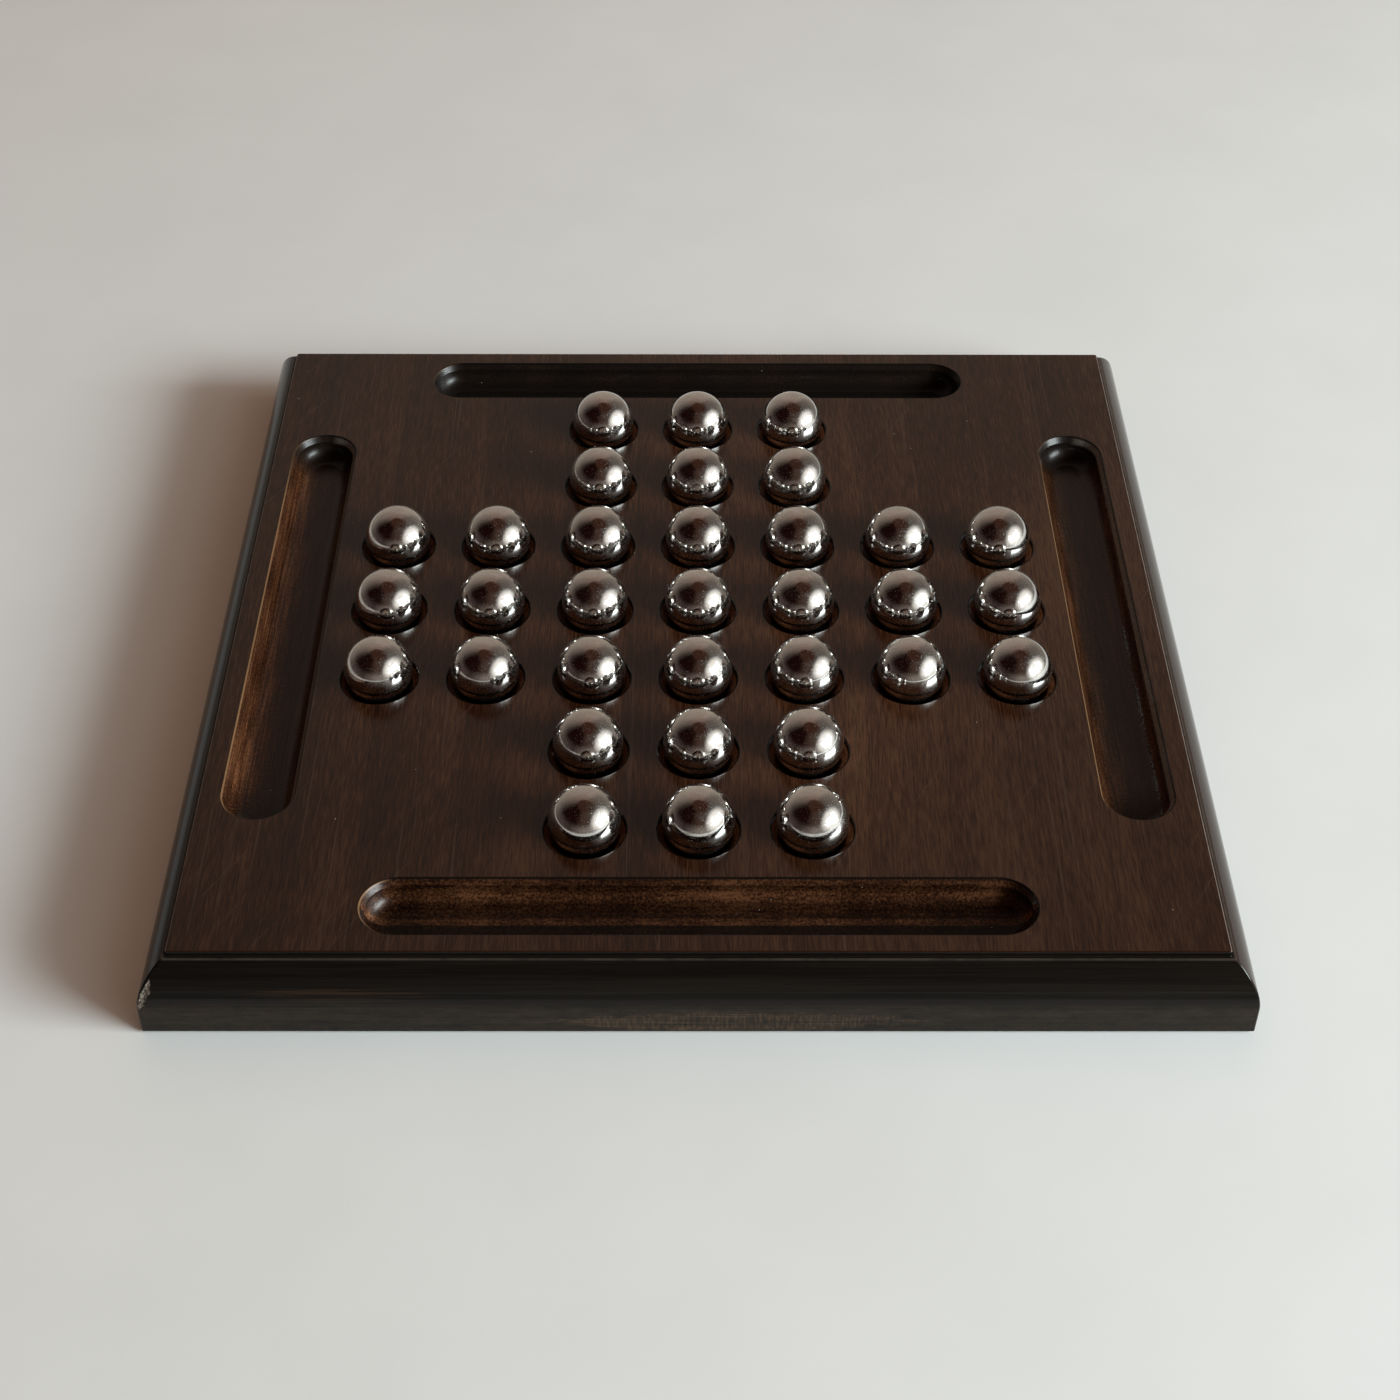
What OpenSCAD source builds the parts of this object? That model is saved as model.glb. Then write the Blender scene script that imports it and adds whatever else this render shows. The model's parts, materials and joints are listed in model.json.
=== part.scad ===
// Marble solitaire: a square hardwood board with a moulded edge, round cups in a cross,
// a tray groove along each side for captured balls, and a steel ball in every cup.
// Units are millimetres, +Z is up, and the origin is the middle of the board's underside.
// The front of the board is at -Y.

/* [Balls and cups] */
// Diameter of a steel ball
ball_d = 16; // [12:0.1:20]
// How far a resting ball sinks below the top face
ball_sink = 5.3; // [3:0.1:7]
// Clearance between a resting ball and the bottom of its cup
seat_gap = 0.15; // [0.05:0.05:0.3]
// Clearance between the widest part of a ball and the wall of its cup
cup_clear = 1.1; // [0.6:0.1:3]
// Height of the straight wall of a cup
cup_wall = 0.9; // [0.6:0.1:2]
// Radius of the eased rim of a cup
rim_r = 0.5; // [0.2:0.1:0.6]
// Flat land between two neighbouring cups
cup_land = 6.8; // [3:0.1:15]

/* [Grooves] */
// Length of a groove from end to end, at the top face
groove_len = 144.5; // [60:0.5:160]
// Extra width of a groove beyond the diameter of a ball
groove_clear = 0.5; // [0.2:0.1:4]
// Depth of a groove
groove_depth = 6; // [4:0.1:9]
// Width of the sloping lip round a groove
lip_w = 1; // [0.4:0.1:2]
// Depth of the sloping lip round a groove
lip_depth = 1.5; // [0.5:0.1:2.5]
// Radius between the wall and the floor of a groove
cove_r = 4.5; // [1:0.1:6]
// Flat land between the outermost cups and a groove
inner_land = 5.75; // [2:0.05:20]
// Flat land between a groove and the edge of the top face
outer_land = 4.8; // [2:0.05:30]

/* [Board] */
// Thickness of the board
board_t = 18.5; // [16:0.5:30]
// Height of the square step between the top face and the ledge
edge_step = 1.45; // [0.5:0.05:3]
// Width of the flat ledge at the foot of the step
edge_ledge = 0.8; // [0.2:0.1:2]
// How far the rounded edge reaches out past the top face
edge_out = 6.35; // [3:0.05:8]
// Radius of the rounded edge below the ledge
edge_r = 11.8; // [8:0.1:16]
// Size of the small bevel round the underside
base_bevel = 0.6; // [0.2:0.1:1.5]

/* [Hidden] */
$fn = 96;
// Cutters run this far past the faces that they cut
over = 2;
// The floor of a groove keeps at least this half width
floor_min = 0.5;

// The cups stand on a seven by seven grid whose corners are left out
GRID = 7;
ARM_FIRST = 2;
ARM_LAST = 4;
COLUMNS = "abcdefg";
middle = (GRID - 1) / 2;
cup_d = ball_d + 2 * cup_clear;
cup_pitch = cup_d + cup_land;

// A cup is a straight wall above a round dish, and the ball rests on the dish
dish_depth = ball_sink + seat_gap - cup_wall;
dish_r = (pow(cup_d / 2, 2) + pow(dish_depth, 2)) / (2 * dish_depth);
dish_z = board_t - cup_wall - dish_depth + dish_r;
ball_z = board_t - ball_sink + ball_d / 2;

// A groove is a sloping lip above a wall that curves into a flat floor
groove_w = ball_d + groove_clear;
groove_run = groove_len - groove_w;
groove_offset = middle * cup_pitch + cup_d / 2 + inner_land + groove_w / 2;
wall_half_w = groove_w / 2 - lip_w;
corner_r = min(cove_r, groove_depth - lip_depth, wall_half_w - floor_min);
floor_half_w = wall_half_w - corner_r;
floor_z = board_t - groove_depth;

// The top face holds the cups and grooves, and the rounded edge stands outside it
top_w = 2 * (groove_offset + groove_w / 2 + outer_land);
board_w = top_w + 2 * edge_out;
ledge_z = board_t - edge_step;

// The rounded edge falls from the ledge and meets the upright side without a corner
round_run = edge_out - edge_ledge;
round_drop = sqrt(pow(edge_r, 2) - pow(edge_r - round_run, 2));
edge_z = ledge_z - round_drop;

function in_arm(i) = i >= ARM_FIRST && i <= ARM_LAST;
CELLS = [
    for (row = [0 : GRID - 1])
        for (col = [0 : GRID - 1])
            if (in_arm(row) || in_arm(col)) [col, row]
];
function cell_x(cell) = (cell[0] - middle) * cup_pitch;
function cell_y(cell) = (cell[1] - middle) * cup_pitch;

// Balls are named by column letter, from the left, and row number, from the front
function ball_name(cell) = str("ball_", COLUMNS[cell[0]], cell[1] + 1);

// Half section of the rounded edge, up to the ledge
module edge_section() {
    intersection() {
        translate([board_w / 2 - edge_r, edge_z])
            circle(r = edge_r);
        translate([0, edge_z])
            square([board_w / 2, round_drop]);
    }
}

// Section of the board: a bevelled foot, a rounded edge and a stepped top
module board_section() {
    difference() {
        union() {
            translate([-board_w / 2, 0])
                square([board_w, edge_z]);
            translate([-top_w / 2, 0])
                square([top_w, board_t]);
            for (side = [0, 1])
                mirror([side, 0])
                    edge_section();
        }
        for (side = [-1, 1])
            translate([side * board_w / 2, 0])
                rotate(45)
                    square(base_bevel * sqrt(2), center = true);
    }
}

// One run of the section, from front to back
module board_run() {
    rotate([90, 0, 0])
        linear_extrude(height = board_w, center = true)
            board_section();
}

// Two crossed runs share the square board, with mitred edges
module board_blank() {
    intersection() {
        board_run();
        rotate(90)
            board_run();
    }
}

// Half section of a cup, from its axis outwards
module cup_section() {
    intersection() {
        translate([0, dish_z])
            circle(r = dish_r);
        translate([0, board_t - cup_wall - dish_depth - over])
            square([cup_d / 2, dish_depth + over]);
    }
    translate([0, board_t - cup_wall])
        square([cup_d / 2, cup_wall + over]);
    difference() {
        translate([0, board_t - rim_r])
            square([cup_d / 2 + rim_r, rim_r + over]);
        translate([cup_d / 2 + rim_r, board_t - rim_r])
            circle(r = rim_r);
    }
}

// Cutter for the cup at one cell
module cup(cell) {
    translate([cell_x(cell), cell_y(cell), 0])
        rotate_extrude()
            cup_section();
}

// Half section of a groove, from its middle outwards
module groove_section() {
    translate([0, floor_z])
        square([floor_half_w, groove_depth + over]);
    translate([floor_half_w, floor_z + corner_r])
        intersection() {
            circle(r = corner_r);
            translate([0, -corner_r])
                square(corner_r);
        }
    translate([0, floor_z + corner_r])
        square([wall_half_w, groove_depth - corner_r + over]);
    polygon([
        [0, board_t - lip_depth],
        [wall_half_w, board_t - lip_depth],
        [groove_w / 2, board_t],
        [groove_w / 2, board_t + over],
        [0, board_t + over]
    ]);
}

// Cutter for a groove along X, with its middle on the Z axis
module groove() {
    rotate([90, 0, 90])
        linear_extrude(height = groove_run, center = true)
            for (side = [0, 1])
                mirror([side, 0])
                    groove_section();
    for (side = [-1, 1])
        translate([side * groove_run / 2, 0, 0])
            rotate(-90 * side)
                rotate_extrude(angle = 180)
                    groove_section();
}

// The wooden board, with its cups and its four grooves
module board() {
    color("#3a2a22")
        difference() {
            board_blank();
            for (cell = CELLS)
                cup(cell);
            for (turn = [0 : 90 : 270])
                rotate(turn)
                    translate([0, -groove_offset, 0])
                        groove();
        }
}

// A steel ball, resting in the cup at one cell
module ball(cell) {
    color("#b9b5b0")
        translate([cell_x(cell), cell_y(cell), ball_z])
            sphere(d = ball_d);
}

board();
for (cell = CELLS) ball(cell);
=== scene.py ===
"""Looks of a marble solitaire set: a stained hardwood board with a moulded edge, and scuffed steel balls."""

import json
import math

import bpy
import numpy as np
from mathutils import Matrix, Vector, noise
from mathutils.geometry import delaunay_2d_cdt


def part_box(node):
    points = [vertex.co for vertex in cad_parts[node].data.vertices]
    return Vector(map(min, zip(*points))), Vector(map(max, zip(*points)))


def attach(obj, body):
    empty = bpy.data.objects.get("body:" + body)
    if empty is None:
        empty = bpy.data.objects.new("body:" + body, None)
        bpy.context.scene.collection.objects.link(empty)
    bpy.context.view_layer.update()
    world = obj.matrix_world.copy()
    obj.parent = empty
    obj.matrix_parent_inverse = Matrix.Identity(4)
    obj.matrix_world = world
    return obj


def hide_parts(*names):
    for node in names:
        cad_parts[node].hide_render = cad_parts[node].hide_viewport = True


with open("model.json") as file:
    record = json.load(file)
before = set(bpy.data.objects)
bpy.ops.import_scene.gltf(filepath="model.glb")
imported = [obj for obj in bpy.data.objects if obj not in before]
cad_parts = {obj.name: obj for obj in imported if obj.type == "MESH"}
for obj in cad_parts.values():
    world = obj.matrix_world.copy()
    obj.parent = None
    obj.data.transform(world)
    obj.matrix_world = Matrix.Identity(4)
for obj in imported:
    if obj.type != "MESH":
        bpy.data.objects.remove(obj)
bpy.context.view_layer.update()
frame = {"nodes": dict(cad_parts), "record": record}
MM = 0.001

# Camera, fitted to the rims of the cups and the edges of the board: sizes in pixels, the eye in millimetres
FRAME_PX = 1400
FOCAL_PX = 2353
SENSOR = 36
EYE = Vector((-1.9, -440.0, 384.7))
TILT = math.radians(41.97)
PAN = math.radians(-0.325)
ROLL = math.radians(0.26)

# Lamps and floor: azimuth from +Y towards +X and elevation in degrees, lengths in metres, power in watts
KEY_AZIMUTH = 114
KEY_ELEVATION = 22
KEY_DISTANCE = 1.7
KEY_WIDTH = 1.05
KEY_HEIGHT = 0.45
KEY_POWER = 47.0
KEY_COLOUR = (0.87, 0.98, 1.0)
FILL_PLACE = Vector((-0.3, 0.7, 1.5))
FILL_SIZE = 2.4
FILL_POWER = 3.5
FILL_COLOUR = (1.0, 0.49, 0.23)
FLOOR_REACH = 6.0

# Sizes of the board that its own box doesn't give, in millimetres
CUP_D = 18.2
CUP_WALL = 0.9
CUP_DEPTH = 5.45
CUP_RIM = 0.5
GROOVE_LEN = 144.5
GROOVE_W = 16.5
GROOVE_DEPTH = 6.0
LIP_W = 1.0
LIP_DEPTH = 1.5
COVE_R = 4.5
EDGE_STEP = 1.45
EDGE_LEDGE = 0.8
EDGE_OUT = 6.35
EDGE_R = 11.8
BASE_BEVEL = 0.6

# Radii of the eased edges, in millimetres
ARRIS_R = 0.3
FOOT_R = 0.18
CORNER_R = 0.45

# Fineness of the mesh: counts of steps, then how far apart points of the face are and how far from its rims
CUP_SIDES = 96
DISH_STEPS = 12
END_SIDES = 40
RUN_STEPS = 32
EASE_STEPS = 5
ROUND_STEPS = 40
LAND_GRID = 5.0
LAND_CLEAR = 1.2
TINY = 1e-6

# The chip beside the front left corner: its middle, lean, half sizes, depth and the fineness of its mesh
CHIP_X = -115.6
CHIP_Z = 10.7
CHIP_LEAN = 0.42
CHIP_HALF_W = 0.95
CHIP_HALF_H = 3.3
CHIP_DEPTH = 0.5
CHIP_RAGGED = 0.35
CHIP_ZONE = 5.0
CHIP_STOPS = 40
CHIP_ROWS = 44

_, board_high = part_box("board")
BOARD_T = board_high.z / MM
HALF_W = board_high.x / MM
HALF_TOP = HALF_W - EDGE_OUT
LEDGE_Z = BOARD_T - EDGE_STEP
ROUND_RUN = EDGE_OUT - EDGE_LEDGE
ROUND_TURN = math.acos(1 - ROUND_RUN / EDGE_R)
EDGE_Z = LEDGE_Z - EDGE_R * math.sin(ROUND_TURN)
BALL_NODES = sorted(name for name in frame["nodes"] if name.startswith("ball_"))


def middle(low, high):
    """Middle of a box in the frame, in millimetres."""
    return (Vector(low) + Vector(high)) / (2 * MM)


CUP_CENTRES = [middle(*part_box(name)).xy for name in BALL_NODES]
BALL_Z = middle(*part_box(BALL_NODES[0])).z
GROOVE_BOXES = [opening["box_m"] for opening in frame["record"]["physics"]["openings"]]
GROOVE_OFFSET = max(middle(*box).x for box in GROOVE_BOXES)


# Outlines: rows of reach, height, normal reach, normal height and wear
def eased_outline(corners, side):
    """Rows along an outline with eased corners. Its outside is left of the way along if side is 1."""
    points = np.array([(x, z) for x, z, _ in corners], float)
    ways = np.diff(points, axis=0)
    ways /= np.linalg.norm(ways, axis=1)[:, None]
    normals = side * np.stack([-ways[:, 1], ways[:, 0]], 1)
    rows = [(*points[0], *normals[0], 0.0)]
    for i in range(1, len(corners) - 1):
        before, after, radius = normals[i - 1], normals[i], corners[i][2]
        turn = math.atan2(before[0] * after[1] - before[1] * after[0], before @ after)
        bulge = 1 if turn * side < 0 else -1
        start = points[i] - ways[i - 1] * radius * math.tan(abs(turn) / 2)
        centre = start - bulge * radius * before
        small = radius < COVE_R
        steps = ROUND_STEPS // 2
        if small:
            steps = max(2, round(EASE_STEPS * abs(turn) / (math.pi / 2)))
        for k in range(steps + 1):
            a = turn * k / steps
            normal = np.array([
                before[0] * math.cos(a) - before[1] * math.sin(a),
                before[0] * math.sin(a) + before[1] * math.cos(a),
            ])
            worn = math.sin(math.pi * k / steps) if bulge > 0 and small else 0.0
            rows.append((*(centre + bulge * radius * normal), *normal, worn))
    rows.append((*points[-1], *normals[-1], 0.0))
    return np.array(rows)


def cup_outline():
    """From the land inwards: an eased rim, a short wall and a round dish, down to its last ring."""
    half = CUP_D / 2
    dish_depth = CUP_DEPTH - CUP_WALL
    dish_r = (half ** 2 + dish_depth ** 2) / (2 * dish_depth)
    dish_z = BOARD_T - CUP_DEPTH + dish_r
    widest = math.asin(half / dish_r)
    dish = []
    for k in range(1, DISH_STEPS):
        a = widest * (1 - k / DISH_STEPS)
        dish.append((dish_r * math.sin(a), dish_z - dish_r * math.cos(a), -math.sin(a), math.cos(a), 0.0))
    upper = eased_outline([
        (half + 2 * CUP_RIM, BOARD_T, 0),
        (half, BOARD_T, CUP_RIM),
        (half, BOARD_T - CUP_WALL, FOOT_R),
        (dish[0][0], dish[0][1], 0),
    ], -1)
    return np.vstack([upper[1:-1], dish])


def groove_outline():
    """From the land inwards: an eased arris, a sloping lip and a wall that curves into the floor."""
    half = GROOVE_W / 2
    floor = BOARD_T - GROOVE_DEPTH
    return eased_outline([
        (half + 2 * ARRIS_R, BOARD_T, 0),
        (half, BOARD_T, ARRIS_R),
        (half - LIP_W, BOARD_T - LIP_DEPTH, ARRIS_R),
        (half - LIP_W, floor, COVE_R),
        (half - LIP_W - COVE_R - ARRIS_R, floor, 0),
    ], -1)[1:]


def edge_outline():
    """From the top land outwards and down: a step, a ledge, a rounded edge and a bevelled foot."""
    turns = np.linspace(ROUND_TURN, 0, ROUND_STEPS + 1)
    centre = np.array([HALF_W - EDGE_R, EDGE_Z])
    ways = np.stack([np.cos(turns), np.sin(turns)], 1)
    arc = np.hstack([centre + EDGE_R * ways, ways, np.zeros((len(turns), 1))])
    upper = eased_outline([
        (HALF_TOP - 4 * ARRIS_R, BOARD_T, 0),
        (HALF_TOP, BOARD_T, ARRIS_R),
        (HALF_TOP, LEDGE_Z, FOOT_R),
        (HALF_TOP + EDGE_LEDGE, LEDGE_Z, ARRIS_R),
        (*arc[2][:2], 0),
    ], 1)
    foot = eased_outline([
        (HALF_W, EDGE_Z, 0),
        (HALF_W, BASE_BEVEL, FOOT_R),
        (HALF_W - BASE_BEVEL, 0, FOOT_R),
        (HALF_W - 4 * BASE_BEVEL, 0, 0),
    ], 1)
    return np.vstack([upper[1:-1], arc[2:], foot[1:]])


def with_chip_rows(rows):
    """The edge outline with more rows where it is chipped."""
    fine = [rows[0]]
    for a, b in zip(rows[:-1], rows[1:]):
        low, high = sorted((a[1], b[1]))
        level = low < CHIP_Z + CHIP_ZONE and high > CHIP_Z - CHIP_ZONE
        steps = 1
        if level and a[0] > HALF_TOP + EDGE_LEDGE:
            steps = max(1, math.ceil(np.linalg.norm(b[:2] - a[:2]) / (2 * CHIP_ZONE / CHIP_ROWS)))
        fine.extend(a + (b - a) * k / steps for k in range(1, steps + 1))
    return np.array(fine)


# Plans: each stop has a base point and an outward direction, and an outline's reach is laid off along it
def round_plan():
    """Stops round a circle."""
    turn = 2 * math.pi * np.arange(CUP_SIDES) / CUP_SIDES
    ways = np.stack([np.cos(turn), np.sin(turn)], 1)
    return np.zeros_like(ways), ways


def stadium_plan(run):
    """Stops round a slot with round ends, from the right end's lowest point, counter-clockwise."""
    turn = np.linspace(-math.pi / 2, math.pi / 2, END_SIDES + 1)
    end = np.stack([np.cos(turn), np.sin(turn)], 1)
    along = np.linspace(run / 2, -run / 2, RUN_STEPS + 1)[1:-1]
    bases = np.concatenate([
        np.tile((run / 2, 0), (END_SIDES + 1, 1)),
        np.stack([along, np.zeros_like(along)], 1),
        np.tile((-run / 2, 0), (END_SIDES + 1, 1)),
        np.stack([-along, np.zeros_like(along)], 1),
    ])
    ways = np.concatenate([end, np.tile((0, 1), (len(along), 1)), -end, np.tile((0, -1), (len(along), 1))])
    return bases, ways


def square_ring(half):
    """Points and outward directions round a square with eased corners, anticlockwise from front left."""
    flat = half - CORNER_R
    share = np.linspace(-1, 1, RUN_STEPS + 1)[1:-1] * flat
    near = -flat + CHIP_ZONE * np.arange(1, CHIP_STOPS + 1) / CHIP_STOPS
    stops = np.unique(np.concatenate([share[share > near[-1] + 1], near]))
    points, ways = [], []
    for k in range(4):
        angle = k * math.pi / 2
        turned = np.array([[math.cos(angle), math.sin(angle)], [-math.sin(angle), math.cos(angle)]])
        ease = np.linspace(math.pi, 1.5 * math.pi, EASE_STEPS + 2)
        corner_way = np.stack([np.cos(ease), np.sin(ease)], 1)
        corner = np.array([-flat, -flat]) + CORNER_R * corner_way
        along = {0: stops, 3: -stops[::-1]}.get(k, share)
        side = np.stack([along, np.full_like(along, -half)], 1)
        points.append(np.concatenate([corner, side]) @ turned)
        ways.append(np.concatenate([corner_way, np.tile((0, -1), (len(along), 1))]) @ turned)
    return np.concatenate(points), np.concatenate(ways)


class Builder:
    """Vertices, their normals and wear, and faces with a material index, for one mesh."""

    def __init__(self):
        self.places, self.normals, self.wear = [], [], []
        self.faces, self.kinds = [], []

    def ring(self, points, height, ways, row):
        """Adds one closed row of vertices and returns their indices."""
        first = len(self.places)
        for point, way in zip(points, ways):
            self.places.append((point[0], point[1], height))
            self.normals.append((way[0] * row[2], way[1] * row[2], row[3]))
            self.wear.append(row[4])
        return list(range(first, len(self.places)))

    def skin(self, outer, inner, kind, flip):
        """Joins two closed rows with quads."""
        count = len(outer)
        for i in range(count):
            j = (i + 1) % count
            quad = (outer[i], inner[i], inner[j], outer[j])
            self.faces.append(quad[::-1] if flip else quad)
            self.kinds.append(kind)

    def face(self, corners, kind):
        """Adds one face."""
        self.faces.append(tuple(corners))
        self.kinds.append(kind)


FACE, CUP, GROOVE, EDGE, UNDER, CHIP = range(6)


def add_cup(build, centre):
    """One cup, and the row of it that lies in the top face."""
    bases, ways = round_plan()
    rows = cup_outline()
    rings = [build.ring(np.array(centre) + bases + ways * row[0], row[1], ways, row) for row in rows]
    for outer, inner in zip(rings[:-1], rings[1:]):
        build.skin(outer, inner, CUP, flip=True)
    bottom = len(build.places)
    build.places.append((centre[0], centre[1], BOARD_T - CUP_DEPTH))
    build.normals.append((0, 0, 1))
    build.wear.append(0.0)
    last = rings[-1]
    for i in range(CUP_SIDES):
        build.face((last[i], last[(i + 1) % CUP_SIDES], bottom), CUP)
    return rings[0]


def add_groove(build, box):
    """One groove, and the row of it that lies in the top face."""
    centre = middle(*box)
    size = Vector(box[1]) - Vector(box[0])
    bases, ways = stadium_plan(GROOVE_LEN - GROOVE_W)
    if size.y > size.x:
        quarter = np.array([[0, 1], [-1, 0]])
        bases, ways = bases @ quarter, ways @ quarter
    rows = groove_outline()
    rings = [build.ring(np.array(centre.xy) + bases + ways * row[0], row[1], ways, row) for row in rows]
    for outer, inner in zip(rings[:-1], rings[1:]):
        build.skin(outer, inner, GROOVE, flip=True)
    floor = rings[-1]
    count = len(floor)
    tip = END_SIDES // 2
    pairs = [(floor[(tip + k) % count], floor[(tip - k) % count]) for k in range(count // 2 + 1)]
    for (a, b), (c, d) in zip(pairs[:-1], pairs[1:]):
        corners = list(dict.fromkeys((a, c, d, b)))
        build.face(corners, GROOVE)
    return rings[0]


def add_edge(build):
    """The moulded edge and the underside, and the row of the edge that lies in the top face."""
    rows = with_chip_rows(edge_outline())
    rings = []
    for row in rows:
        points, ways = square_ring(row[0])
        rings.append(build.ring(points, row[1], ways, row))
    for outer, inner in zip(rings[:-1], rings[1:]):
        build.skin(outer, inner, EDGE, flip=False)
    build.face(rings[-1][::-1], UNDER)
    return rings[0]


def add_land(build, outer, holes):
    """The flat top face between the edge and the rims of the cups and grooves."""
    rims = [outer] + holes
    flat = [build.places[i][:2] for rim in rims for i in rim]
    index = [i for rim in rims for i in rim]
    edges, first = [], 0
    for rim in rims:
        edges += [(first + k, first + (k + 1) % len(rim)) for k in range(len(rim))]
        first += len(rim)
    outlines = [np.array([build.places[i][:2] for i in rim]) for rim in holes]
    rim_points = np.concatenate(outlines)
    reach = HALF_TOP - ARRIS_R - LAND_CLEAR
    stops = np.arange(-reach, reach + TINY, 2 * reach / round(2 * reach / LAND_GRID))
    for x in stops:
        for y in stops:
            spot = np.array([x, y])
            if np.min(np.linalg.norm(rim_points - spot, axis=1)) < LAND_CLEAR or in_hole(spot):
                continue
            index.append(len(build.places))
            flat.append((x, y))
            build.places.append((x, y, BOARD_T))
            build.normals.append((0, 0, 1))
            build.wear.append(0.0)
    made = delaunay_2d_cdt([Vector(p) for p in flat], edges, [], 0, TINY)
    for triangle in made[2]:
        corners = [index[made[3][k][0]] for k in triangle]
        spot = np.mean([build.places[i][:2] for i in corners], axis=0)
        if in_hole(spot):
            continue
        a, b, c = (np.array(build.places[i][:2]) for i in corners)
        turn = (b[0] - a[0]) * (c[1] - a[1]) - (b[1] - a[1]) * (c[0] - a[0])
        build.face(corners if turn > 0 else corners[::-1], FACE)


def in_hole(spot):
    """True within the mouth of a cup or a groove."""
    if any((Vector(spot) - centre).length < CUP_D / 2 + CUP_RIM for centre in CUP_CENTRES):
        return True
    half_run = (GROOVE_LEN - GROOVE_W) / 2
    for box in GROOVE_BOXES:
        away = Vector(spot) - middle(*box).xy
        across = box[1][1] - box[0][1] > box[1][0] - box[0][0]
        along, beside = (away.y, away.x) if across else (away.x, away.y)
        if math.hypot(max(abs(along) - half_run, 0), beside) < GROOVE_W / 2 + ARRIS_R / 2:
            return True
    return False


def chip_corner(build):
    """Scoops a flake out of the front edge beside its left corner, and gives its faces their own material."""
    places = np.array(build.places)
    moved = set()
    for i in np.nonzero((places[:, 0] < CHIP_X + CHIP_ZONE) & (places[:, 1] < CHIP_ZONE - HALF_W))[0]:
        x, y, z = places[i]
        if x < y - CORNER_R or z > LEDGE_Z:
            continue
        across = (x - CHIP_X - CHIP_LEAN * (z - CHIP_Z)) / CHIP_HALF_W
        ragged = 1 + CHIP_RAGGED * noise.noise(Vector((x * 1.3, 0, z * 1.3)))
        span = math.hypot(across, (z - CHIP_Z) / CHIP_HALF_H) * ragged
        if span < 1:
            fibre = 1 + CHIP_RAGGED * noise.noise(Vector((x * 2.0, 5, z * 4.0)))
            places[i][1] += CHIP_DEPTH * fibre * math.sqrt(1 - span)
            moved.add(int(i))
    build.places = [tuple(p) for p in places]
    sums = {i: np.zeros(3) for i in moved}
    for n, face in enumerate(build.faces):
        hits = [i for i in face if i in moved]
        if not hits:
            continue
        a, b, c = (places[i] for i in face[:3])
        normal = np.cross(b - a, c - a)
        if len(hits) == len(face):
            build.kinds[n] = CHIP
        for i in hits:
            sums[i] += normal
    for i, normal in sums.items():
        length = np.linalg.norm(normal)
        if length > 0:
            build.normals[i] = tuple(normal / length)


# Shader helpers
def node(tree, kind, settings=None, **inputs):
    """A new node. Settings are its properties, and inputs are socket names with values or sockets to link."""
    made = tree.nodes.new(kind)
    for name, value in (settings or {}).items():
        setattr(made, name, value)
    for name, value in inputs.items():
        key = int(name[1:]) if name[0] == "_" else name.replace("_", " ")
        socket = made.inputs[key]
        if isinstance(value, bpy.types.NodeSocket):
            tree.links.new(value, socket)
        else:
            socket.default_value = value
    return made


def maths(tree, operation, a, b=0.0):
    """One sum on one or two values."""
    return node(tree, "ShaderNodeMath", {"operation": operation}, _0=a, _1=b).outputs[0]


def step_between(tree, value, low, high):
    """Rises smoothly from 0 to 1 as value goes from low to high."""
    made = node(tree, "ShaderNodeMapRange", {"interpolation_type": "SMOOTHSTEP"}, _0=value, _1=low, _2=high)
    return made.outputs[0]


def spread(tree, value, low, high):
    """Maps 0 to low and 1 to high."""
    return node(tree, "ShaderNodeMapRange", {}, _0=value, _3=low, _4=high).outputs[0]


def scaled(tree, vector, scale, turn=(0, 0, 0)):
    """A vector, scaled and then turned."""
    return node(tree, "ShaderNodeMapping", {}, Vector=vector, Rotation=turn, Scale=scale).outputs[0]


def axes(tree, vector):
    """The three parts of a vector."""
    return node(tree, "ShaderNodeSeparateXYZ", {}, Vector=vector).outputs


def grain(tree, vector, scale, detail=3.0, roughness=0.55, distortion=0.0, turn=(0, 0, 0)):
    """Noise around a half. Scale is how many of its waves fit in a millimetre along each turned axis."""
    turned = scaled(tree, vector, (1, 1, 1), turn) if any(turn) else vector
    made = node(
        tree, "ShaderNodeTexNoise", {}, Vector=scaled(tree, turned, scale),
        Scale=1.0, Detail=detail, Roughness=roughness, Distortion=distortion,
    )
    return made.outputs["Fac"]


def blend(tree, parts):
    """Weighted sum of noises, which stays around a half as they do."""
    total = 0.5 - sum(weight for _, weight in parts) / 2
    for value, weight in parts:
        added = node(tree, "ShaderNodeMath", {"operation": "MULTIPLY_ADD"}, _0=value, _1=weight, _2=total)
        total = added.outputs[0]
    return total


def ramp(tree, value, stops, low=0.0, high=1.0):
    """A colour for each value between low and high. Stops are values and colours."""
    share = node(tree, "ShaderNodeMapRange", {}, _0=value, _1=low, _2=high).outputs[0]
    made = node(tree, "ShaderNodeValToRGB", {}, Fac=share)
    elements = made.color_ramp.elements
    while len(elements) < len(stops):
        elements.new(0.5)
    for element, (place, colour) in zip(elements, stops):
        element.position = (place - low) / (high - low)
        element.color = (*colour, 1)
    return made.outputs["Color"]


def mix(tree, factor, a, b):
    """From colour a to colour b."""
    a, b = ((*c, 1) if isinstance(c, tuple) else c for c in (a, b))
    return node(tree, "ShaderNodeMix", {"data_type": "RGBA"}, _0=factor, _6=a, _7=b).outputs[2]


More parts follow.
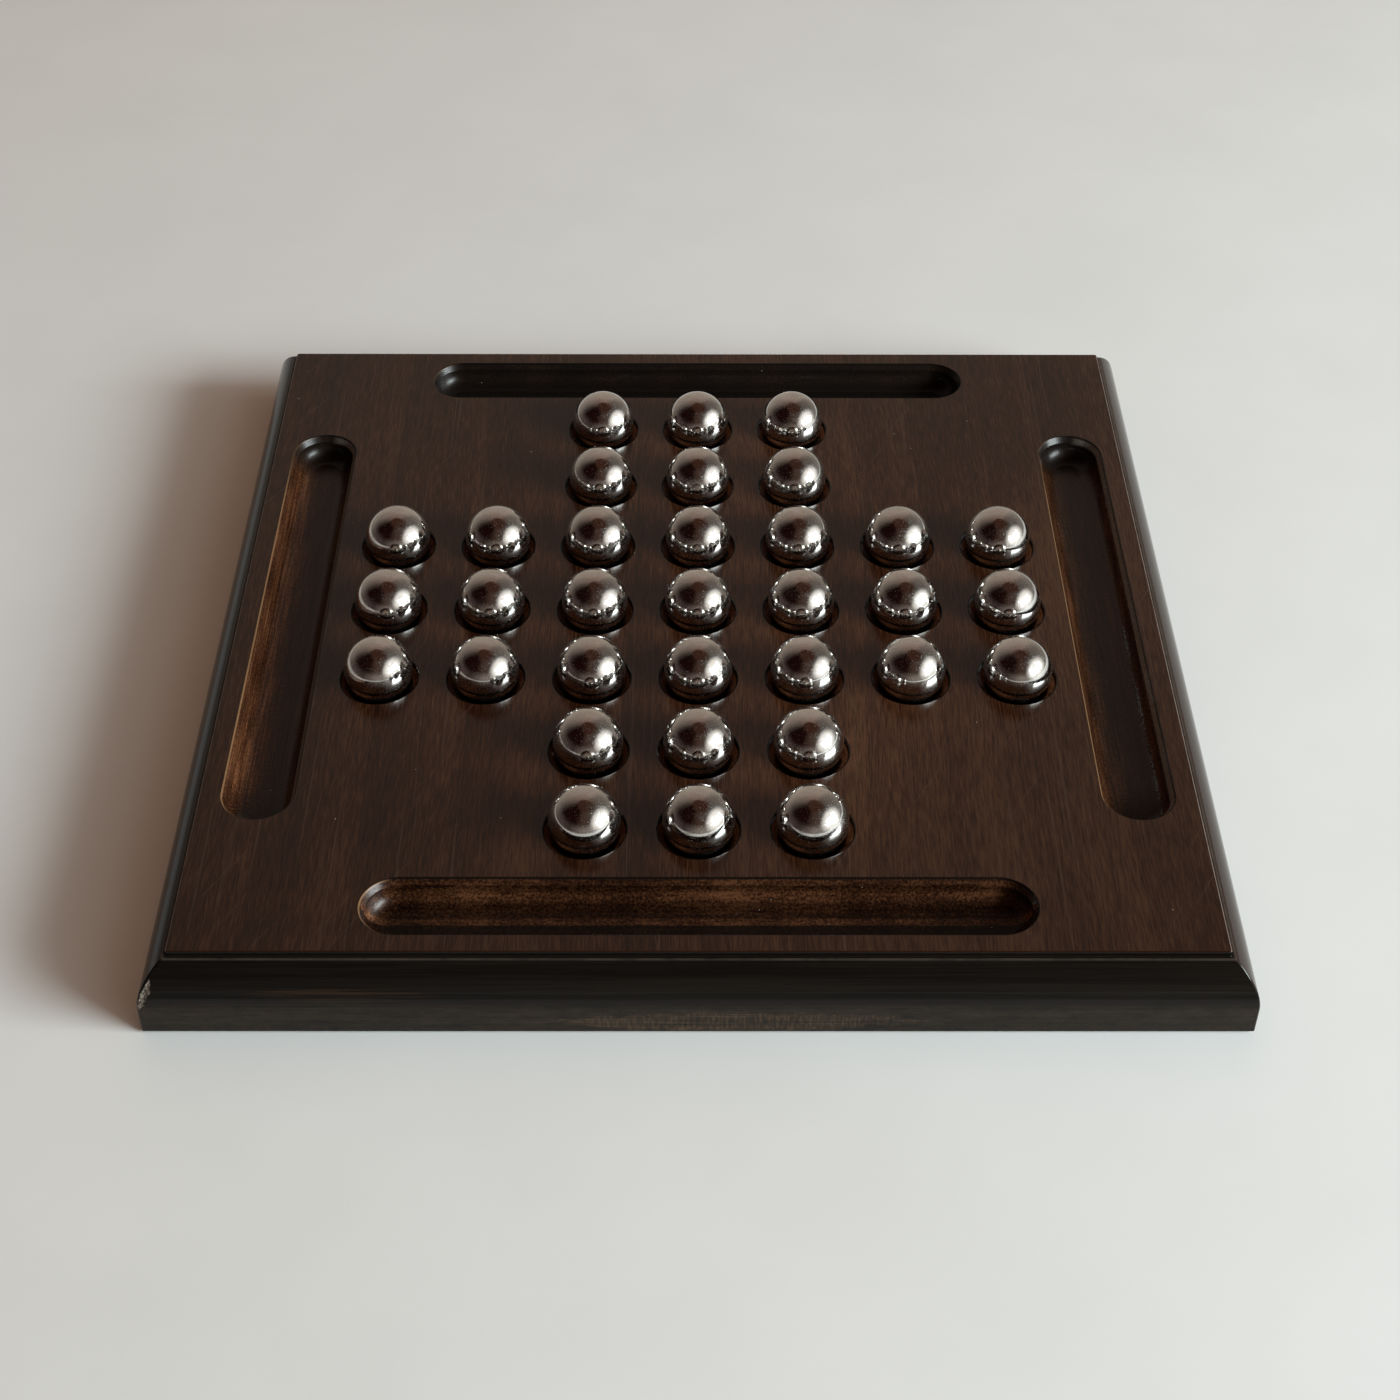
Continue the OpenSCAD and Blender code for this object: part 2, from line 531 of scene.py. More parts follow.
def between(tree, factor, a, b):
    """From value a to value b."""
    return node(tree, "ShaderNodeMix", {"data_type": "FLOAT"}, _0=factor, _2=a, _3=b).outputs[0]


def times(tree, *values):
    """Product of values."""
    product = values[0]
    for value in values[1:]:
        product = maths(tree, "MULTIPLY", product, value)
    return product


def inverse(tree, share):
    """What a share leaves of one."""
    return maths(tree, "SUBTRACT", 1.0, share)


def brighten(tree, colour, gain):
    """A colour times a value."""
    return node(tree, "ShaderNodeVectorMath", {"operation": "SCALE"}, _0=colour, Scale=gain).outputs[0]


def bump(tree, height, depth):
    """Tilts the normal as a relief that is depth millimetres deep would."""
    return node(tree, "ShaderNodeBump", {}, Height=height, Strength=1.0, Distance=depth * MM).outputs[0]


def new_material(name):
    """A material, its node tree and its shader."""
    made = bpy.data.materials.new(name)
    made.use_nodes = True
    return made, made.node_tree, made.node_tree.nodes["Principled BSDF"]


def coordinates(tree):
    """Object coordinates in millimetres, which move with the piece, and the object's normal."""
    made = node(tree, "ShaderNodeTexCoord")
    return scaled(tree, made.outputs["Object"], (1000, 1000, 1000)), made.outputs["Normal"]


def finish(tree, shader, colour, roughness, normal, specular):
    """Gives a shader its colour, roughness, normal and specular level."""
    tree.links.new(colour, shader.inputs["Base Color"])
    tree.links.new(roughness, shader.inputs["Roughness"])
    tree.links.new(normal, shader.inputs["Normal"])
    if isinstance(specular, bpy.types.NodeSocket):
        tree.links.new(specular, shader.inputs["Specular IOR Level"])
    else:
        shader.inputs["Specular IOR Level"].default_value = specular


# Stained wood: its tones from dark to light, and the colours of black lacquer, fine scratches and dust
STAIN_STOPS = (0.22, 0.50, 0.82)
STAIN_TONES = ((0.0090, 0.0028, 0.0011), (0.0210, 0.0071, 0.0030), (0.0480, 0.0195, 0.0090))
LACQUER_DARK = (0.0048, 0.0036, 0.0029)
LACQUER_LIGHT = (0.0105, 0.0080, 0.0064)
HAIRLINE = (0.062, 0.036, 0.024)
HAIRLINE_SHARE = 0.40
DUST = (0.50, 0.46, 0.42)

# How far the grain bends, in millimetres, and how far the scratches across it are turned, in radians
GRAIN_WANDER = 9.0
HAIRLINE_TURN = -1.05

# Painted light that lifts the shade among the balls: how much lighter the face is, and how far from its
# middle that ends and is full
PAINTED_LIFT_GAIN = 1.7
PAINTED_LIFT_END = 105
PAINTED_LIFT_FULL = 45

# How light the parts of a cup are beside the face: its dark wall, painted light at the top of its dish,
# painted shade deeper down, and the depths between which that shade sets in
CUP_WALL_GAIN = 0.25
CUP_PAINTED_LIGHT_GAIN = 4.2
CUP_PAINTED_SHADE_GAIN = 0.5
DISH_SHADE_DEPTHS = (2.0, 3.0)

# Finishes: lowest and highest roughness, depth of the relief in millimetres, and specular level
FACE_ROUGH = (0.17, 0.21)
FACE_RELIEF = 0.003
FACE_SPECULAR = 0.33
CUP_ROUGH = (0.08, 0.14)
CUP_RELIEF = 0.003
CUP_SPECULAR = 0.45
UNDER_ROUGH = (0.40, 0.60)
UNDER_RELIEF = 0.015
UNDER_SPECULAR = 0.3


def specks(tree, place, cell, size, share):
    """1 in small spots, with at most one in each of a share of the cells that fill space, and 0 elsewhere."""
    cells = scaled(tree, place, tuple(1 / length for length in cell))
    made = node(tree, "ShaderNodeTexVoronoi", {}, Vector=cells, Scale=1.0)
    near = maths(tree, "LESS_THAN", made.outputs["Distance"], size)
    pick = maths(tree, "LESS_THAN", axes(tree, made.outputs["Color"])[0], share)
    return times(tree, near, pick)


def bent(tree, place):
    """Coordinates whose X wanders, so that the grain bends on its way along Y."""
    wander = grain(tree, place, (0.011, 0.007, 0.011), 2)
    aside = maths(tree, "MULTIPLY", maths(tree, "SUBTRACT", wander, 0.5), GRAIN_WANDER)
    shift = node(tree, "ShaderNodeCombineXYZ", {}, X=aside).outputs[0]
    return node(tree, "ShaderNodeVectorMath", {"operation": "ADD"}, _0=place, _1=shift).outputs[0]


def wood_tone(tree, place):
    """Fine flecks of wood with its grain along Y, and the tone they make with streaks, rings and clouds."""
    fleck = grain(tree, place, (2.6, 0.16, 2.6), 3, 0.65)
    fibre = grain(tree, place, (1.2, 0.05, 1.2), 3, 0.6)
    streak = grain(tree, place, (0.22, 0.006, 0.22), 3, 0.55)
    cloud = grain(tree, place, (0.020, 0.011, 0.03), 2)
    rings = node(
        tree, "ShaderNodeTexWave", {"bands_direction": "X", "wave_profile": "SAW"},
        Vector=scaled(tree, place, (0.016, 0.0022, 0.016)),
        Scale=1.0, Distortion=5.0, Detail=2.0, Detail_Scale=1.2,
    ).outputs["Fac"]
    tone = blend(tree, [(fleck, 1.30), (fibre, 0.35), (streak, 0.32), (cloud, 0.70), (rings, 0.12)])
    return fleck, tone


def stain(tree, tone):
    """The stain's colour for a tone."""
    return ramp(tree, tone, list(zip(STAIN_STOPS, STAIN_TONES)))


def face_wood():
    """The sanded and lacquered top face, finely scratched and dusty, with painted light lifting its middle
    among the balls.
    """
    made, tree, shader = new_material("stained_wood_face")
    place, _ = coordinates(tree)
    fleck, tone = wood_tone(tree, bent(tree, place))
    x, y, _ = axes(tree, place)
    away = maths(tree, "SQRT", maths(tree, "ADD", times(tree, x, x), times(tree, y, y)))
    # Painted light: the face is lighter among the balls, where they shade it.
    painted_lift = step_between(tree, away, PAINTED_LIFT_END, PAINTED_LIFT_FULL)
    colour = brighten(tree, stain(tree, tone), spread(tree, painted_lift, 1.0, PAINTED_LIFT_GAIN))
    drawn = step_between(tree, grain(tree, place, (1.7, 0.010, 1.7), 2, 0.5), 0.62, 0.72)
    crossing = grain(tree, place, (0.025, 2.2, 2.2), 1, 0.5, turn=(0, 0, HAIRLINE_TURN))
    cut = step_between(tree, crossing, 0.72, 0.76)
    hairlines = times(tree, maths(tree, "MAXIMUM", drawn, cut), HAIRLINE_SHARE)
    colour = mix(tree, hairlines, colour, HAIRLINE)
    colour = mix(tree, specks(tree, place, (4, 4, 4), 0.03, 0.12), colour, DUST)
    gloss = spread(tree, fleck, *FACE_ROUGH)
    finish(tree, shader, colour, gloss, bump(tree, fleck, FACE_RELIEF), FACE_SPECULAR)
    return made


# Grooves: tones from dark to light, the colours of the painted highlight and the painted sheen on the lips,
# and of the groove at the back
GROOVE_STOPS = (0.20, 0.50, 0.85)
GROOVE_TONES = ((0.0062, 0.0020, 0.0009), (0.0235, 0.0081, 0.0034), (0.0740, 0.0295, 0.0128))
LIP_PAINTED_HIGHLIGHT = (0.175, 0.092, 0.044)
LIP_PAINTED_SHEEN = (0.185, 0.158, 0.135)
BACK_GREY = (0.0085, 0.0068, 0.0056)
BACK_SHARE = 0.6

# How light the parts of a groove are beside those tones: floors, walls by side, ends, lips, darker bands
# under the lips, a paler line and painted shade in the front groove, near ends and the back
FLOOR_GAIN_SIDE = 0.90
FLOOR_GAIN_OUTER = 2.1
FLOOR_GAIN_END = 0.50
LEFT_INNER_GAIN = 1.0
LEFT_OUTER_GAIN = 2.1
RIGHT_INNER_GAIN = 1.3
RIGHT_OUTER_GAIN = 1.7
END_GAIN = 1.55
LIP_GAIN = 0.8
BAND_GAIN = 0.55
NEAR_LINE_GAIN = 2.6
NEAR_PAINTED_SHADE_GAIN = 0.45
NEAR_END_GAIN = 0.5
BACK_GAIN = 0.24

# Where along Y the ends of the side grooves and the groove at the back begin and are full, in millimetres
SIDE_END = (54, 66)
BACK = (58, 68)

# Finish of the grooves. A tip is the round end of the front or back groove
GROOVE_ROUGH = (0.20, 0.36)
GROOVE_RELIEF = 0.014
GROOVE_SPECULAR_CROSS = 0.11
GROOVE_SPECULAR_SIDE = 0.22
TIP_ROUGH = (0.14, 0.48)
TIP_RELIEF_GAIN = 2.2
TIP_SPECULAR = 0.32
CLOSE_SPECULAR_GAIN = 0.45


def groove_wood():
    """The routed grooves: cutter marks along their length, open grain where they cross it, and lips with
    painted highlights, painted sheen and painted shade.
    """
    made, tree, shader = new_material("stained_wood_groove")
    place, normal = coordinates(tree)
    x, y, z = axes(tree, place)
    tilt = axes(tree, normal)
    across = maths(tree, "ABSOLUTE", x)
    along = maths(tree, "ABSOLUTE", y)
    sides = step_between(tree, maths(tree, "SUBTRACT", across, along), -5, 5)
    crosswise = inverse(tree, sides)
    right = step_between(tree, x, -1, 1)
    in_front = maths(tree, "LESS_THAN", y, 0.0)
    back = step_between(tree, y, *BACK)
    end = step_between(tree, maths(tree, "ABSOLUTE", tilt[1]), 0.35, 0.8)
    near_end = times(tree, sides, step_between(tree, along, *SIDE_END))
    open_grain = maths(tree, "MAXIMUM", maths(tree, "MAXIMUM", end, near_end), crosswise)

    speckle = grain(tree, place, (1.8, 1.8, 1.8), 3, 0.7)
    cloud = grain(tree, place, (0.07, 0.04, 0.07), 3)
    smudge = grain(tree, place, (0.30, 0.045, 0.30), 4, 0.6)
    cross_strokes = grain(tree, place, (0.09, 1.5, 1.5), 3, 0.6)
    side_strokes = grain(tree, place, (3.2, 0.06, 3.2), 3, 0.65)
    strokes = between(tree, sides, cross_strokes, side_strokes)
    close_marks = blend(tree, [(strokes, 1.4), (speckle, 0.8), (smudge, 0.6)])
    open_marks = blend(tree, [(strokes, 0.6), (speckle, 1.7), (cloud, 0.9)])
    marks = between(tree, open_grain, close_marks, open_marks)

    outer = step_between(tree, across, GROOVE_OFFSET - 2, GROOVE_OFFSET + 5)
    inner_gain = between(tree, right, LEFT_INNER_GAIN, RIGHT_INNER_GAIN)
    outer_gain = between(tree, right, LEFT_OUTER_GAIN, RIGHT_OUTER_GAIN)
    # The left groove's floor is lighter towards its outer side.
    left_outer_floor = step_between(tree, x, 1 - GROOVE_OFFSET, -5 - GROOVE_OFFSET)
    side_floor = between(tree, left_outer_floor, FLOOR_GAIN_SIDE, FLOOR_GAIN_OUTER)
    floor = between(tree, sides, FLOOR_GAIN_END, side_floor)
    walls = between(tree, end, between(tree, outer, inner_gain, outer_gain), END_GAIN)
    gain = between(tree, step_between(tree, tilt[2], 0.93, 0.55), floor, walls)
    lip_z = BOARD_T - LIP_DEPTH
    lip = step_between(tree, z, lip_z - 0.1, lip_z + 0.2)
    under_lip = times(tree, step_between(tree, z, lip_z - 2.2, lip_z - 0.6), inverse(tree, lip))
    band = times(tree, under_lip, open_grain)
    gain = times(tree, gain, spread(tree, lip, 1.0, LIP_GAIN), spread(tree, band, 1.0, BAND_GAIN))
    # A paler line on the front groove's floor, and painted shade on its near half.
    ahead = times(tree, crosswise, in_front)
    past = maths(tree, "SUBTRACT", along, GROOVE_OFFSET)
    pale = times(tree, ahead, step_between(tree, past, -2.1, -1.3), step_between(tree, past, 0.4, 0.0))
    shade = times(tree, ahead, step_between(tree, past, 0.0, 0.5))
    gain = times(tree, gain, spread(tree, pale, 1.0, NEAR_LINE_GAIN))
    gain = times(tree, gain, spread(tree, shade, 1.0, NEAR_PAINTED_SHADE_GAIN))
    close = times(tree, near_end, in_front, step_between(tree, tilt[2], 0.55, 0.93))
    gain = times(tree, gain, spread(tree, back, 1.0, BACK_GAIN), spread(tree, close, 1.0, NEAR_END_GAIN))

    colour = brighten(tree, ramp(tree, marks, list(zip(GROOVE_STOPS, GROOVE_TONES))), gain)
    colour = mix(tree, times(tree, back, BACK_SHARE), colour, BACK_GREY)
    # Painted sheen on the side grooves' lips that face away from the key lamp.
    sheen_side = times(tree, sides, step_between(tree, tilt[0], -0.1, -0.5))
    at_lip = step_between(tree, z, lip_z - 0.7, lip_z - 0.1)
    colour = mix(tree, times(tree, at_lip, sheen_side, spread(tree, marks, 0.45, 0.95)), colour, LIP_PAINTED_SHEEN)
    # Painted highlight on the arrises that face the key lamp, fading towards the back, and painted shade, a
    # black line, on the others.
    arris = step_between(tree, z, BOARD_T - 0.48, BOARD_T - 0.26)
    fading = spread(tree, step_between(tree, y, 40, 66), 1.0, 0.2)
    highlight_side = times(tree, step_between(tree, tilt[0], 0.15, 0.5), fading)
    colour = mix(tree, times(tree, arris, 0.9), colour, mix(tree, highlight_side, LACQUER_DARK, LIP_PAINTED_HIGHLIGHT))
    colour = mix(tree, specks(tree, place, (2.5, 2.5, 2.5), 0.035, 0.25), colour, DUST)

    tip = times(tree, crosswise, step_between(tree, maths(tree, "ABSOLUTE", tilt[0]), 0.3, 0.7))
    gloss = between(tree, tip, spread(tree, speckle, *GROOVE_ROUGH), spread(tree, speckle, *TIP_ROUGH))
    relief = times(tree, marks, spread(tree, tip, 1.0, TIP_RELIEF_GAIN))
    specular = between(tree, sides, GROOVE_SPECULAR_CROSS, GROOVE_SPECULAR_SIDE)
    specular = between(tree, tip, specular, TIP_SPECULAR)
    specular = times(tree, specular, spread(tree, times(tree, close, right), 1.0, CLOSE_SPECULAR_GAIN))
    finish(tree, shader, colour, gloss, bump(tree, relief, GROOVE_RELIEF), specular)
    return made


def cup_wood():
    """The turned cups: glossy, with a dark wall, painted light at the top of the dish and painted shade at
    its bottom.
    """
    made, tree, shader = new_material("stained_wood_cup")
    place, _ = coordinates(tree)
    fleck, tone = wood_tone(tree, place)
    depth = maths(tree, "SUBTRACT", BOARD_T, axes(tree, place)[2])
    # Painted light at the top of the dish stands for light the ball throws back; painted shade deeper down
    # stands for the ball's shade.
    dish = between(tree, step_between(tree, depth, *DISH_SHADE_DEPTHS), CUP_PAINTED_LIGHT_GAIN, CUP_PAINTED_SHADE_GAIN)
    gain = between(tree, step_between(tree, depth, CUP_WALL, CUP_WALL + 0.3), CUP_WALL_GAIN, dish)
    colour = brighten(tree, stain(tree, tone), gain)
    gloss = spread(tree, fleck, *CUP_ROUGH)
    finish(tree, shader, colour, gloss, bump(tree, fleck, CUP_RELIEF), CUP_SPECULAR)
    return made


def under_wood():
    """The underside, with a thin dull coat of stain."""
    made, tree, shader = new_material("stained_wood_under")
    place, _ = coordinates(tree)
    fleck, tone = wood_tone(tree, bent(tree, place))
    gloss = spread(tree, fleck, *UNDER_ROUGH)
    finish(tree, shader, stain(tree, tone), gloss, bump(tree, fleck, UNDER_RELIEF), UNDER_SPECULAR)
    return made


# Worn places on the front edge: middle and half size along X and Z, in millimetres, and colour
WORN_SIDE = (8, 3.7, 40, 3.3, (0.084, 0.050, 0.027))
WORN_ROUND = (-74, 11.0, 22, 1.9, (0.027, 0.0135, 0.0070))

# Colours of the upright side from dark to light, of the ledge's painted highlight, of the arris, worn and
# partly a painted highlight, and of the right edge's painted light
SIDE_DARK = (0.0070, 0.0043, 0.0026)
SIDE_LIGHT = (0.0270, 0.0175, 0.0112)
LEDGE_PAINTED_HIGHLIGHT = (0.054, 0.041, 0.034)
ARRIS_WEAR_AND_HIGHLIGHT = (0.190, 0.140, 0.118)
ROUND_PAINTED_LIGHT = (0.036, 0.021, 0.016)
ROUND_LIGHT_SHARE = 0.6

# Heights above the upright side: the end of its tone, where the right edge's painted light is full, and a
# dull band's start and end
SIDE_FADE = 3
ROUND_LIGHT_FULL = 8
DULL_FROM = (2.9, 3.6)
DULL_TO = (5.2, 4.2)

# Finish of the edge
ROUND_ROUGH = (0.05, 0.13)
SIDE_ROUGH = (0.10, 0.26)
WORN_ROUGH = 0.42
EDGE_RELIEF = 0.003
LEFT_SPECULAR = 0.125
RIGHT_SPECULAR = 0.165
FRONT_SPECULAR = 0.20
DULL_SPECULAR = 0.07


def worn_place(tree, place, spot, ragged):
    """1 within a ragged oval on the front."""
    x, y, z = axes(tree, place)
    off_x = maths(tree, "DIVIDE", maths(tree, "SUBTRACT", x, spot[0]), spot[2])
    off_z = maths(tree, "DIVIDE", maths(tree, "SUBTRACT", z, spot[1]), spot[3])
    away = maths(tree, "ADD", times(tree, off_x, off_x), times(tree, off_z, off_z))
    inside = maths(tree, "SUBTRACT", maths(tree, "ADD", ragged, ragged), away)
    return times(tree, step_between(tree, inside, 0.0, 0.5), maths(tree, "LESS_THAN", y, 1 - HALF_TOP))


def edge_wood():
    """The moulded edge: nearly black and polished, duller on its upright side and rubbed in places, with
    painted light on the right, painted shade on the step and painted highlights on the ledge and arris.
    """
    made, tree, shader = new_material("stained_wood_edge")
    place, _ = coordinates(tree)
    x, y, z = axes(tree, place)
    across = maths(tree, "ABSOLUTE", x)
    along = maths(tree, "ABSOLUTE", y)
    ends = step_between(tree, maths(tree, "SUBTRACT", along, across), -0.3, 0.3)
    sides = inverse(tree, ends)
    right = times(tree, sides, step_between(tree, x, HALF_TOP + 0.4, HALF_TOP + 0.8))
    side_fine = grain(tree, place, (2.2, 0.03, 2.2), 4, 0.6)
    end_fine = grain(tree, place, (0.03, 2.2, 2.2), 4, 0.6)
    fine = between(tree, ends, side_fine, end_fine)
    side_broad = grain(tree, place, (0.4, 0.012, 0.4), 3, 0.6)
    end_broad = grain(tree, place, (0.012, 0.4, 0.4), 3, 0.6)
    broad = between(tree, ends, side_broad, end_broad)
    mottle = grain(tree, place, (0.20, 0.20, 0.55), 5, 0.72)

    upright = step_between(tree, z, EDGE_Z + SIDE_FADE, EDGE_Z)
    streak = blend(tree, [(fine, 1.1), (broad, 0.9)])
    colour = ramp(tree, streak, [(0.3, LACQUER_DARK), (0.85, LACQUER_LIGHT)])
    side = ramp(tree, blend(tree, [(fine, 1.0), (mottle, 1.3)]), [(0.2, SIDE_DARK), (0.85, SIDE_LIGHT)])
    colour = mix(tree, upright, colour, side)
    # Painted light on the rounded edge of the right side.
    right_painted_light = times(tree, right, step_between(tree, z, EDGE_Z + SIDE_FADE, EDGE_Z + ROUND_LIGHT_FULL), ROUND_LIGHT_SHARE)
    colour = mix(tree, right_painted_light, colour, ROUND_PAINTED_LIGHT)
    hatch = blend(tree, [(grain(tree, place, (1.6, 1.6, 0.35), 3, 0.6), 1.0), (fine, 1.0)])
    worn = times(tree, worn_place(tree, place, WORN_SIDE, mottle), step_between(tree, hatch, 0.25, 0.95))
    colour = mix(tree, worn, colour, WORN_SIDE[4])
    rubbed = times(tree, worn_place(tree, place, WORN_ROUND, broad), step_between(tree, fine, 0.46, 0.68))
    colour = mix(tree, rubbed, colour, WORN_ROUND[4])
    # Painted highlight: a light line along the outer half of the ledge.
    ledge = times(
        tree,
        step_between(tree, maths(tree, "MAXIMUM", across, along), HALF_TOP + 0.40, HALF_TOP + 0.55),
        step_between(tree, z, LEDGE_Z - 0.22, LEDGE_Z - 0.05),
        maths(tree, "LESS_THAN", z, LEDGE_Z + 0.1),
        step_between(tree, mottle, 0.1, 0.7),
    )
    colour = mix(tree, ledge, colour, LEDGE_PAINTED_HIGHLIGHT)
    # Painted shade darkens the step above the ledge.
    top = step_between(tree, z, LEDGE_Z + 0.1, LEDGE_Z + 0.3)
    colour = mix(tree, times(tree, top, 0.6), colour, LACQUER_DARK)
    crown = step_between(tree, z, BOARD_T - 0.22, BOARD_T - 0.06)
    colour = mix(tree, crown, colour, STAIN_TONES[1])
    # The eased top arris of the left and right sides: worn paler, and partly a painted highlight where it
    # catches the key lamp.
    edge = node(tree, "ShaderNodeAttribute", {"attribute_name": "wear"}).outputs["Fac"]
    worn_and_lit_top = times(tree, edge, top, sides, step_between(tree, mottle, 0.1, 0.6))
    colour = mix(tree, worn_and_lit_top, colour, ARRIS_WEAR_AND_HIGHLIGHT)
    colour = mix(tree, specks(tree, place, (5, 5, 7), 0.03, 0.4), colour, DUST)

    gloss = between(tree, upright, spread(tree, fine, *ROUND_ROUGH), spread(tree, mottle, *SIDE_ROUGH))
    gloss = between(tree, worn, gloss, WORN_ROUGH)
    starts = step_between(tree, z, *(EDGE_Z + height for height in DULL_FROM))
    stops = step_between(tree, z, *(EDGE_Z + height for height in DULL_TO))
    front = spread(tree, times(tree, starts, stops), FRONT_SPECULAR, DULL_SPECULAR)
    beside = between(tree, right, LEFT_SPECULAR, RIGHT_SPECULAR)
    finish(tree, shader, colour, gloss, bump(tree, fine, EDGE_RELIEF), between(tree, ends, beside, front))
    return made


# Torn wood in the chip: colours from dark to light, and its finish
TORN_DARK = (0.022, 0.015, 0.011)
TORN_LIGHT = (0.22, 0.18, 0.145)
TORN_ROUGH = (0.6, 0.8)
TORN_RELIEF = 0.12
TORN_SPECULAR = 0.3


def chip_wood():
    """Bare torn wood in the chip."""
    made, tree, shader = new_material("bare_wood_chip")
    place, _ = coordinates(tree)
    torn = grain(tree, place, (2.4, 2.4, 1.6), 4, 0.65)
    colour = ramp(tree, torn, [(0.36, TORN_DARK), (0.66, TORN_LIGHT)])
    gloss = spread(tree, torn, *TORN_ROUGH)
    finish(tree, shader, colour, gloss, bump(tree, torn, TORN_RELIEF), TORN_SPECULAR)
    return made


# Steel: colours, roughness where polished, scuffed and pitted, more wear low down, and turns of scratches
STEEL = (0.64, 0.62, 0.60)
STEEL_DULL = (0.54, 0.51, 0.48)
POLISHED = 0.03
SCUFFED = 0.26
PITTED = 0.46
LOWER_WEAR = 0.10
SCRATCH_TURNS = ((0.4, 0.2, 0.9), (1.3, 0.7, 0.1), (0.1, 1.2, 2.2))
SCRATCH_SHARE = 0.8
DENT_RELIEF = 0.003
STEEL_SPECULAR = 0.5


def steel():
    """Bearing steel, scuffed all over in fine spots, pitted and scratched."""
    made, tree, shader = new_material("scuffed_steel")
    place, _ = coordinates(tree)
    shader.inputs["Metallic"].default_value = 1.0
    spots = grain(tree, place, (3.0, 3.0, 3.0), 3, 0.65)
    smear = grain(tree, place, (0.22, 0.34, 0.26), 3, 0.55, 1.2)
    low = step_between(tree, axes(tree, place)[2], BALL_Z + 1.5, BALL_Z - 4.0)
    rubbed = maths(tree, "ADD", blend(tree, [(spots, 1.1), (smear, 1.1)]), times(tree, low, LOWER_WEAR))
    scuffs = step_between(tree, rubbed, 0.54, 0.74)
    pits = step_between(tree, grain(tree, place, (3.4, 3.4, 3.4), 2, 0.6), 0.63, 0.71)
    for turn in SCRATCH_TURNS:
        line = step_between(tree, grain(tree, place, (0.16, 6.0, 6.0), 1, 0.5, 0.6, turn), 0.64, 0.72)
        scuffs = maths(tree, "MAXIMUM", scuffs, times(tree, line, SCRATCH_SHARE))
    dent = grain(tree, place, (0.9, 0.9, 0.9), 2)
    colour = ramp(tree, smear, [(0.35, STEEL), (0.70, STEEL_DULL)])
    dull = maths(tree, "MAXIMUM", spread(tree, scuffs, POLISHED, SCUFFED), times(tree, pits, PITTED))
    finish(tree, shader, colour, dull, bump(tree, dent, DENT_RELIEF), STEEL_SPECULAR)
    return made


# Floor: colours from dark to light, and its finish
FLOOR_DARK = (0.77, 0.77, 0.76)
FLOOR_LIGHT = (0.80, 0.80, 0.79)
FLOOR_ROUGH = (0.85, 0.95)
FLOOR_RELIEF = 0.01
FLOOR_SPECULAR = 0.1


def floor_paint():
    """Plain pale floor."""
    made, tree, shader = new_material("pale_floor")
    place, _ = coordinates(tree)
    cloud = grain(tree, place, (0.02, 0.02, 0.02), 3)
    fine = grain(tree, place, (1.5, 1.5, 1.5), 2)
    colour = ramp(tree, cloud, [(0.3, FLOOR_DARK), (0.7, FLOOR_LIGHT)])
    gloss = spread(tree, cloud, *FLOOR_ROUGH)
    finish(tree, shader, colour, gloss, bump(tree, fine, FLOOR_RELIEF), FLOOR_SPECULAR)
    return made


# Pieces
def make_board():
    """The board, in place of its plain solid."""
    build = Builder()
    outer = add_edge(build)
    holes = [add_cup(build, centre) for centre in CUP_CENTRES]
    holes += [add_groove(build, box) for box in GROOVE_BOXES]
    add_land(build, outer, holes)
    chip_corner(build)
    mesh = bpy.data.meshes.new("wooden_board")
    mesh.from_pydata([Vector(p) * MM for p in build.places], [], build.faces)
    materials = {
        FACE: face_wood(),
        CUP: cup_wood(),
        GROOVE: groove_wood(),
        EDGE: edge_wood(),
        UNDER: under_wood(),
        CHIP: chip_wood(),
    }
    for kind in sorted(materials):
        mesh.materials.append(materials[kind])
    mesh.polygons.foreach_set("material_index", build.kinds)
    worn = mesh.attributes.new("wear", "FLOAT", "POINT")
    worn.data.foreach_set("value", build.wear)
    mesh.shade_smooth()
    mesh.validate()
    mesh.update()
    mesh.normals_split_custom_set_from_vertices(build.normals)
    board = bpy.data.objects.new("wooden_board", mesh)
    bpy.context.scene.collection.objects.link(board)
    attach(board, "board")
    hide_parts("board")


def dress_balls():
    """Gives the balls their steel."""
    made = steel()
    for name in BALL_NODES:
        ball = frame["nodes"][name]
        ball.data.materials.clear()
        ball.data.materials.append(made)


def make_floor():
    """The floor under the board."""
    mesh = bpy.data.meshes.new("floor")
    r = FLOOR_REACH
    mesh.from_pydata([(-r, -r, 0), (r, -r, 0), (r, r, 0), (-r, r, 0)], [], [(0, 1, 2, 3)])
    mesh.materials.append(floor_paint())
    floor = bpy.data.objects.new("floor", mesh)
    bpy.context.scene.collection.objects.link(floor)


def direction(azimuth, elevation):
    """Unit vector for an azimuth and an elevation in degrees."""
    a = math.radians(azimuth)
    e = math.radians(elevation)
    return Vector((math.cos(e) * math.sin(a), math.cos(e) * math.cos(a), math.sin(e)))


def make_lamp(name, place, size, power, colour, mirrored):
    """A soft rectangular lamp, turned to the origin. It shows in mirrors only if mirrored."""
    lamp = bpy.data.lights.new(name, "AREA")
    lamp.shape = "RECTANGLE"
    lamp.size, lamp.size_y = size
    lamp.energy = power
    lamp.color = colour
    holder = bpy.data.objects.new(name, lamp)
    holder.location = place
    holder.rotation_mode = "QUATERNION"
    holder.rotation_quaternion = (-place).to_track_quat("-Z", "Y")
    holder.visible_glossy = mirrored
    holder.visible_camera = False
    bpy.context.scene.collection.objects.link(holder)


